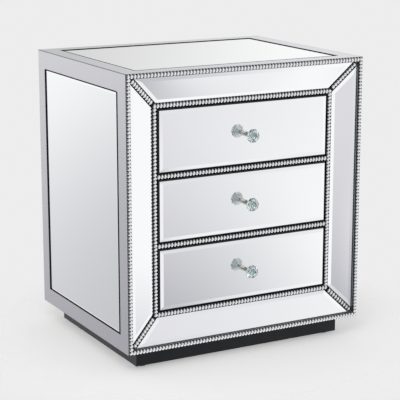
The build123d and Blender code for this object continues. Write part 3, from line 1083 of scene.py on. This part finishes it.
@dataclass
class PaneShadeStrips:
    """Near-black strips round the three mirrors that are let into the sides and the top: painted
    shade for the gaps round them.
    """

    half_width: float = 290.0
    top_z: float = 644.0
    side_y: Span = (-171.0, 204.0)
    side_z: Span = (82.0, 602.5)
    top_x: Span = (-248.5, 248.5)
    top_y: Span = (-174.5, 204.5)
    lap_in: float = 1.9
    inner_fall: float = 1.3
    foot_width: float = 1.4
    foot_top: float = 0.1
    depth: float = 4.2
    side_lap_out: float = 0.2
    side_rise: float = 0.5
    top_lap_out: float = 2.8
    top_rise: float = 0.9
    front_lip: float = 5.8
    back_lip: float = 4.0
    top_lip: float = 1.8
    lip_rise: float = 0.8
    lip_overlap: float = 0.4
    lip_depth: float = 0.2
    bends: int = 9

    def back(self, half: float, rise: float) -> np.ndarray:
        """The rounded back of a seal: half an ellipse, counter-clockwise.

        Args:
            half: Half its width.
            rise: How far it stands out.

        Returns:
            Its (u, v).
        """
        bend = np.linspace(0, np.pi, self.bends)
        return np.stack([half * np.cos(bend), rise * np.sin(bend)], axis=-1)

    def ring(
        self,
        centre: np.ndarray,
        first: np.ndarray,
        second: np.ndarray,
        lap_out: float,
        rise: float,
    ) -> Surface:
        """A strip with a rounded back round a pocket, which paints the shade in its gap.

        Its back runs from the border down to the glass's bevel.

        Args:
            centre: The pocket's middle, on the border's face.
            first: From the middle to one edge of the pocket, square to it.
            second: The same for the next edge.
            lap_out: How far the strip laps over the border.
            rise: How far its back stands out of the border.

        Returns:
            The closed strip, mitred at its four corners.
        """
        out = np.cross(first, second)
        halves = np.array([first, second])
        ways = np.array([[-1, -1], [-1, 1], [1, 1], [1, -1]])
        across = ways @ (halves / np.linalg.norm(halves, axis=1)[:, None])
        back = self.back((lap_out + self.lap_in) / 2, rise)
        back[:, 0] += (lap_out - self.lap_in) / 2
        back[:, 1] -= np.linspace(0, self.inner_fall, self.bends)
        foot = [[-self.foot_width, -self.depth], [0.0, -self.depth], [0.0, -self.foot_top]]
        section = np.concatenate([foot, back])
        return carried(section, centre + ways @ halves, across, out / np.linalg.norm(out), True)

    def lip(self, side: int, away: tuple[int, int], width: float) -> Surface:
        """The lip of a side strip, a painted shade line on the border along one edge of the
        mirror.

        Args:
            side: -1 for the left side, 1 for the right one.
            away: From the mirror to the edge, as signs of y and z, one of them 0.
            width: How wide the lip is.

        Returns:
            The closed lip, as long as the edge.
        """
        half = width / 2
        foot = [[-half, -self.lip_depth], [half, -self.lip_depth]]
        section = np.concatenate([foot, self.back(half, self.lip_rise)])
        across, out = np.array([0.0, *away]), np.array([float(side), 0.0, 0.0])
        halves = np.array([0.0, np.ptp(self.side_y) / 2, np.ptp(self.side_z) / 2])
        middle = np.array([side * self.half_width, np.mean(self.side_y), np.mean(self.side_z)])
        middle = middle + across * (halves + half - self.lip_overlap)
        along = np.cross(across, out) * halves
        return carried(section, np.array([middle - along, middle + along]), across, out, False)

    def build(self, wardrobe: Wardrobe) -> None:
        """Builds the strips of painted shade in the pockets of the sides and the top.

        Args:
            wardrobe: The materials.
        """
        y, z = np.mean(self.side_y), np.mean(self.side_z)
        half_y, half_z = np.ptp(self.side_y) / 2, np.ptp(self.side_z) / 2
        seals = [
            self.ring(
                np.array([side * self.half_width, y, z]),
                np.array([0.0, side * half_y, 0.0]),
                np.array([0.0, 0.0, half_z]),
                self.side_lap_out,
                self.side_rise,
            )
            for side in (-1, 1)
        ]
        top = self.ring(
            np.array([np.mean(self.top_x), np.mean(self.top_y), self.top_z]),
            np.array([np.ptp(self.top_x) / 2, 0.0, 0.0]),
            np.array([0.0, np.ptp(self.top_y) / 2, 0.0]),
            self.top_lap_out,
            self.top_rise,
        )
        lips = (((-1, 0), self.front_lip), ((1, 0), self.back_lip), ((0, 1), self.top_lip))
        seals += [top, *(self.lip(side, away, width) for side in (-1, 1) for away, width in lips)]
        # Painted shade: near-black strips in the gaps round the mirrors and along their edges.
        material = wardrobe.finished(SHADE_STRIP_RUBBER)
        add_piece("pane_painted_shade_strips", joined(seals), material, "case")


@dataclass
class CrossHeadScrew:
    """A screw with a domed head and a cross recess.

    Spans and widths on the head are shares of its radius.
    """

    head_radius: float
    head_height: float
    shank_radius: float = 0.0
    shank_length: float = 0.0
    recess_depth: float = 1.1
    segments: int = 24
    ring_span: Span = (0.98, 0.12)
    rings: int = 7
    rim_share: float = 0.45
    arm_width: float = 0.1
    arm_flat: float = 1.4
    recess_reach: float = 0.72
    recess_fade: float = 0.25

    def surface(self) -> Surface:
        """The screw with its head's seat at the origin and its head towards +z.

        The head is a turned dome. Its cross is a hollow whose depth falls off with the
        distance from the nearer of the two lines x = 0 and y = 0, and with the radius.

        Returns:
            The head, and the shank where it has one.
        """
        shares = np.linspace(*self.ring_span, self.rings)
        dome = self.rim_share + (1 - self.rim_share) * (1 - shares**2)
        heights = self.head_height * np.concatenate([[0, 0], dome, [1]])
        radii = self.head_radius * np.concatenate([[0, 1], shares, [0]])
        head = turned(radii, heights, self.segments)
        x, y = head.points[:, 0], head.points[:, 1]
        off_arm = np.minimum(np.abs(x), np.abs(y)) / self.head_radius
        reach = np.hypot(x, y) / self.head_radius
        hollow = np.clip(self.arm_flat - off_arm / self.arm_width, 0, 1)
        hollow *= np.clip((self.recess_reach - reach) / self.recess_fade, 0, 1)
        raised = head.points[:, 2] > 0
        head.points[:, 2] -= np.where(raised, hollow * self.recess_depth, 0)
        if not self.shank_radius:
            return head
        depths = np.array([-self.shank_length, -self.shank_length, 0.0, 0.0])
        shank = turned(self.shank_radius * np.array([0, 1, 1, 0]), depths, self.segments)
        return joined([head, shank])


@dataclass
class Knob:
    """A faceted crystal on a turned ferrule, held by a screw from inside the drawer.

    The barrel's profile is its heights and radii, with a groove between 3 and 4.2.
    """

    glass_y: float = -200.6
    front_back_y: float = -181.6
    sides: int = 10
    joint: float = 0.04
    barrel_length: float = 14.0
    barrel_heights: tuple[float, ...] = (0.0, 0.5, 3.0, 3.3, 3.9, 4.2, 13.0, 13.7)
    barrel_radii: tuple[float, ...] = (5.1, 5.6, 5.6, 5.2, 5.2, 5.6, 5.6, 5.1)
    neck_radius: float = 2.9
    neck_flare: float = 0.9
    neck_rings: int = 9
    ferrule_segments: int = 32
    screw: CrossHeadScrew = field(
        default_factory=lambda: CrossHeadScrew(4.0, 2.4, 2.0, 31.0)
    )
    ring_radii: tuple[float, ...] = (4.6, 10.4, 15.0, 15.0, 11.9, 5.6)
    ring_heights: tuple[float, ...] = (21.0, 27.0, 32.0, 34.4, 38.8, 42.4)
    ring_turns: tuple[float, ...] = (0.0, 0.5, 0.0, 0.0, 0.5, 0.0)
    foil_rings: int = 3
    foil_gap: float = 0.02
    foil_skin: float = 0.1

    def crystal(self) -> Surface:
        """The crystal: a cone of long facets behind the girdle, a crown and table before."""
        rings = (np.array(row) for row in (self.ring_radii, self.ring_heights, self.ring_turns))
        return faceted(*rings, self.sides)

    def foil(self) -> Surface:
        """The silvering on the crystal's cone: a thin shell that follows its facets.

        Returns:
            The closed shell.
        """
        radii, heights, turns = (
            np.array(row[: self.foil_rings])
            for row in (self.ring_radii, self.ring_heights, self.ring_turns)
        )
        return faceted(
            np.concatenate([radii + self.foil_skin, radii[::-1] + self.foil_gap]),
            np.concatenate([heights - self.foil_skin, heights[::-1] - self.foil_gap]),
            np.concatenate([turns, turns[::-1]]),
            self.sides,
        )

    def ferrule(self) -> Surface:
        """The ferrule: a barrel on the glass, and a waisted neck that just meets the crystal.

        The neck's radius follows half a cosine wave, wide at the barrel and at the
        crystal and narrow between them.

        Returns:
            The closed ferrule.
        """
        length = self.ring_heights[0] - self.joint
        share = np.linspace(0, 1, self.neck_rings)
        neck_heights = self.barrel_length + share * (length - self.barrel_length)
        neck = self.neck_radius + self.neck_flare * np.cos(np.pi * share) ** 2
        radii = np.concatenate([[0], self.barrel_radii, neck, [0]])
        heights = np.concatenate([[0], self.barrel_heights, neck_heights, [length]])
        return turned(radii, heights, self.ferrule_segments)

    def build(self, wardrobe: Wardrobe, drawer: str, z: float) -> None:
        """Builds a drawer's knob.

        Args:
            wardrobe: The materials.
            drawer: The drawer's name.
            z: The height of the knob's axis.
        """
        outwards = np.array([[1.0, 0, 0], [0, 0, 1.0], [0, -1.0, 0]])
        inwards = np.array([[-1.0, 0, 0], [0, 0, 1.0], [0, 1.0, 0]])
        steel, soft = Slot.SCREW_STEEL, SOFT_CREASE
        parts = (
            ("crystal", self.crystal(), self.glass_y, outwards, Slot.CRYSTAL, None),
            ("crystal_foil", self.foil(), self.glass_y, outwards, Slot.CRYSTAL, None),
            ("ferrule", self.ferrule(), self.glass_y, outwards, Slot.FERRULE, soft),
            ("screw", self.screw.surface(), self.front_back_y, inwards, steel, soft),
        )
        for part, surface, y, axes, slot, crease in parts:
            foil = part == "crystal_foil"
            material = wardrobe.finished(CRYSTAL_FOIL) if foil else wardrobe.material(slot)
            placed = surface.repeated(np.array([[0.0, y, z]]), axes)
            nodes = [] if foil else [f"{drawer}_knob_{part}"]
            name, body = f"{drawer}_{part}", f"{drawer}_drawer"
            add_piece(name, placed, material, body, nodes, crease)


@dataclass
class Drawer:
    """A drawer: its box, mirrored front, runners and knob."""

    name: str
    knob_z: float
    knob: Knob = field(default_factory=Knob)

    def build(self, wardrobe: Wardrobe) -> None:
        """Dresses the drawer's nodes and builds its knob.

        Args:
            wardrobe: The materials.
        """
        outfits = {
            Slot.DRAWER_BOX: ["drawer_sides", "drawer_back", "drawer_bottom"],
            Slot.BLACK_PAINT: ["drawer_front"],
            Slot.MIRROR_GLASS: ["drawer_mirror"],
            Slot.RUNNER_STEEL: ["drawer_runners", "middle_runners"],
        }
        for slot, parts in outfits.items():
            wardrobe.dress([f"{self.name}_{part}" for part in parts], slot)
        self.knob.build(wardrobe, self.name, self.knob_z)


@dataclass
class Feet:
    """The four glides under the plinth, moulded with a rounded sole."""

    x: float = 234.0
    front_y: float = -160.0
    back_y: float = 185.5
    radius: float = 12.5
    height: float = 6.0
    sole_round: float = 3.2
    sole_rings: int = 6
    segments: int = 40

    def build(self, wardrobe: Wardrobe) -> None:
        """Builds the glides, whose soles curve up to their sides in a quarter circle.

        Args:
            wardrobe: The materials.
        """
        bend = np.linspace(0, np.pi / 2, self.sole_rings)
        radii = self.radius - self.sole_round * (1 - np.sin(bend))
        heights = self.sole_round * (1 - np.cos(bend))
        radii = np.concatenate([[0], radii, [self.radius, 0]])
        heights = np.concatenate([[0], heights, [self.height, self.height]])
        places = np.array(
            [[side * self.x, y, 0.0] for side in (-1, 1) for y in (self.front_y, self.back_y)]
        )
        surface = turned(radii, heights, self.segments).repeated(places, np.eye(3))
        material = wardrobe.material(Slot.FOOT_PLASTIC)
        add_piece("glides", surface, material, "case", ["feet"])


@dataclass
class BackScrews:
    """The small screws that hold the back panel in its rebate."""

    back_y: float = 243.0
    half_width: float = 276.0
    bottom_z: float = 55.0
    top_z: float = 630.0
    across: int = 4
    upright: int = 5
    screw: CrossHeadScrew = field(
        default_factory=lambda: CrossHeadScrew(3.4, 1.5, recess_depth=0.8, segments=20)
    )

    def build(self, wardrobe: Wardrobe) -> None:
        """Builds the screws, evenly spaced round the panel's edge.

        Args:
            wardrobe: The materials.
        """
        x = np.linspace(-self.half_width, self.half_width, self.across)
        z = np.linspace(self.bottom_z, self.top_z, self.upright)
        rows = [(value, end) for end in (self.bottom_z, self.top_z) for value in x]
        columns = [(side * self.half_width, value) for side in (-1, 1) for value in z[1:-1]]
        places = np.array([[at_x, self.back_y, at_z] for at_x, at_z in rows + columns])
        inwards = np.array([[-1.0, 0, 0], [0, 0, 1.0], [0, 1.0, 0]])
        surface = self.screw.surface().repeated(places, inwards)
        material = wardrobe.material(Slot.SCREW_STEEL)
        add_piece("back_panel_screws", surface, material, "case")


# The studio


@dataclass(frozen=True)
class Card:
    """A soft-edged card in the studio, seen only in reflections. All angles are in degrees."""

    azimuth: float
    elevation: float
    core: float
    edge: float
    colour: str


def hang(thing: bpy.types.Object, place: Vector, towards: Vector) -> None:
    """Puts a lamp or camera into the scene and turns it.

    Args:
        thing: The lamp or camera.
        place: Where it goes.
        towards: The direction that it looks in.
    """
    thing.location = place
    thing.rotation_mode = "QUATERNION"
    thing.rotation_quaternion = towards.to_track_quat("-Z", "Y")
    bpy.context.scene.collection.objects.link(thing)


@dataclass
class Studio:
    """A pale floor, plain soft light and the room that the mirrors show."""

    background: str = "#EDEDED"
    floor_colour: str = "#EDEDED"
    floor_radius: float = 620.0
    floor_clear: float = 340.0
    floor_thinness: float = 0.45
    level: float = 0.86
    room: str = "#FEFEFE"
    cards: tuple[Card, ...] = (
        Card(105, 18, 16, 40, "#3E4044"),
        Card(15, -26.5, 3.6, 22, "#5E5D73"),
        Card(15, -2, 1, 24, "#DFDEE2"),
        Card(52, -27, 3, 12, "#CBCAD0"),
        Card(174, 2, 9, 29, "#C9CAC8"),
        Card(29, 25, 8, 20, "#E8E8EB"),
        Card(-145, -24, 9, 21, "#C8C8CC"),
        Card(15.5, -14.5, 6.5, 9, "#F7F6F9"),
        Card(34, -29, 2, 4.5, "#F6F6F7"),
        Card(-72, -8, 42, 52, "#878F92"),
        Card(-45, 62, 18, 36, "#54585B"),
    )
    key_place: tuple[float, float, float] = (-1700.0, -1900.0, 2600.0)
    key_aim: tuple[float, float, float] = (0.0, 0.0, 300.0)
    key_size: float = 1600.0
    key_power: float = 45.0

    def floor(self) -> None:
        """Lays a floor that keeps the shadow and fades into the background."""
        mesh = bpy.data.meshes.new("floor")
        r = self.floor_radius * MM
        mesh.from_pydata([(-r, -r, 0), (r, -r, 0), (r, r, 0), (-r, r, 0)], [], [(0, 1, 2, 3)])
        floor = bpy.data.objects.new("floor", mesh)
        bpy.context.scene.collection.objects.link(floor)
        floor.visible_glossy = False
        material = bpy.data.materials.new("floor_paper")
        add = adder(material)
        place = add("TexCoord").outputs["Object"]
        distance = add("VectorMath", {0: place}, operation="LENGTH").outputs["Value"]
        limits = {
            "From Min": self.floor_clear * MM,
            "From Max": self.floor_radius * MM,
            "To Min": self.floor_thinness,
            "To Max": 1.0,
        }
        fade = add("MapRange", {"Value": distance} | limits, interpolation_type="SMOOTHSTEP")
        paper = add("BsdfDiffuse", {"Color": linear(self.floor_colour)})
        surface = add("MixShader", {0: fade, 1: paper, 2: add("BsdfTransparent")})
        add("OutputMaterial", {"Surface": surface})
        mesh.materials.append(material)

    def world(self) -> None:
        """Lights the room evenly, and shows it to mirrors and crystal with its cards."""
        world = bpy.data.worlds.new("studio")
        bpy.context.scene.world = world
        add = adder(world)
        seen_at = add("TexCoord").outputs["Generated"]
        picture: bpy.types.Node | Colour = linear(self.room)
        for card in self.cards:
            middle = direction(card.azimuth, card.elevation)
            facing = add("VectorMath", {0: seen_at, 1: middle}, operation="DOT_PRODUCT")
            rim, core = (math.cos(math.radians(angle)) for angle in (card.edge, card.core))
            limits = {"From Min": rim, "From Max": core}
            value = {"Value": facing.outputs["Value"]}
            share = add("MapRange", value | limits, interpolation_type="SMOOTHSTEP")
            ends = {6: picture, 7: linear(card.colour)}
            picture = add("Mix", {0: share} | ends, data_type="RGBA")
        path = add("LightPath").outputs
        rays = {0: path["Is Glossy Ray"], 1: path["Is Transmission Ray"]}
        reflected = add("Math", rays, operation="MAXIMUM")
        even = (self.level, self.level, self.level, 1.0)
        lit = add("Mix", {0: reflected, 6: even, 7: picture}, data_type="RGBA")
        ends = {6: lit, 7: linear(self.background)}
        seen = add("Mix", {0: path["Is Camera Ray"]} | ends, data_type="RGBA")
        add("OutputWorld", {"Surface": add("Background", {"Color": seen})})

    def lamp(self) -> None:
        """Hangs one large soft lamp up in front, to the left of the chest."""
        data = bpy.data.lights.new("key_lamp", "AREA")
        data.size = self.key_size * MM
        data.energy = self.key_power
        lamp = bpy.data.objects.new("key_lamp", data)
        place, aim = Vector(self.key_place) * MM, Vector(self.key_aim) * MM
        hang(lamp, place, aim - place)
        lamp.visible_glossy = False

    def build(self) -> None:
        """Sets up the floor, the room and the lamp."""
        self.floor()
        self.world()
        self.lamp()
        log.info("set up the studio")


@dataclass
class Viewpoint:
    """The camera, aimed as the photograph was taken."""

    azimuth: float = -28.709
    elevation: float = 13.184
    distance: float = 3240.9
    target: tuple[float, float, float] = (-0.7, 0.0, 307.4)
    lens: float = 127.21
    sensor: float = 36.0

    def build(self) -> None:
        """Sets the camera up and makes it the scene's own."""
        data = bpy.data.cameras.new("camera")
        data.lens = self.lens
        data.sensor_width = self.sensor
        camera = bpy.data.objects.new("camera", data)
        back = direction(self.azimuth, self.elevation)
        hang(camera, (Vector(self.target) + back * self.distance) * MM, -back)
        bpy.context.scene.camera = camera
        log.info("set up the camera")


def main() -> None:
    """Builds the looks, one sub-assembly after another."""
    logging.basicConfig(level=logging.INFO)
    bpy.context.scene.view_settings.view_transform = "Standard"
    wardrobe = Wardrobe()
    Viewpoint().build()
    Studio().build()
    Case().dress(wardrobe)
    BeadTrim().build(wardrobe)
    for name, knob_z in (("bottom", 195.0), ("middle", 345.0), ("top", 495.0)):
        Drawer(name, knob_z).build(wardrobe)
    PaneShadeStrips().build(wardrobe)
    Feet().build(wardrobe)
    BackScrews().build(wardrobe)


if __name__ == "__main__":
    main()
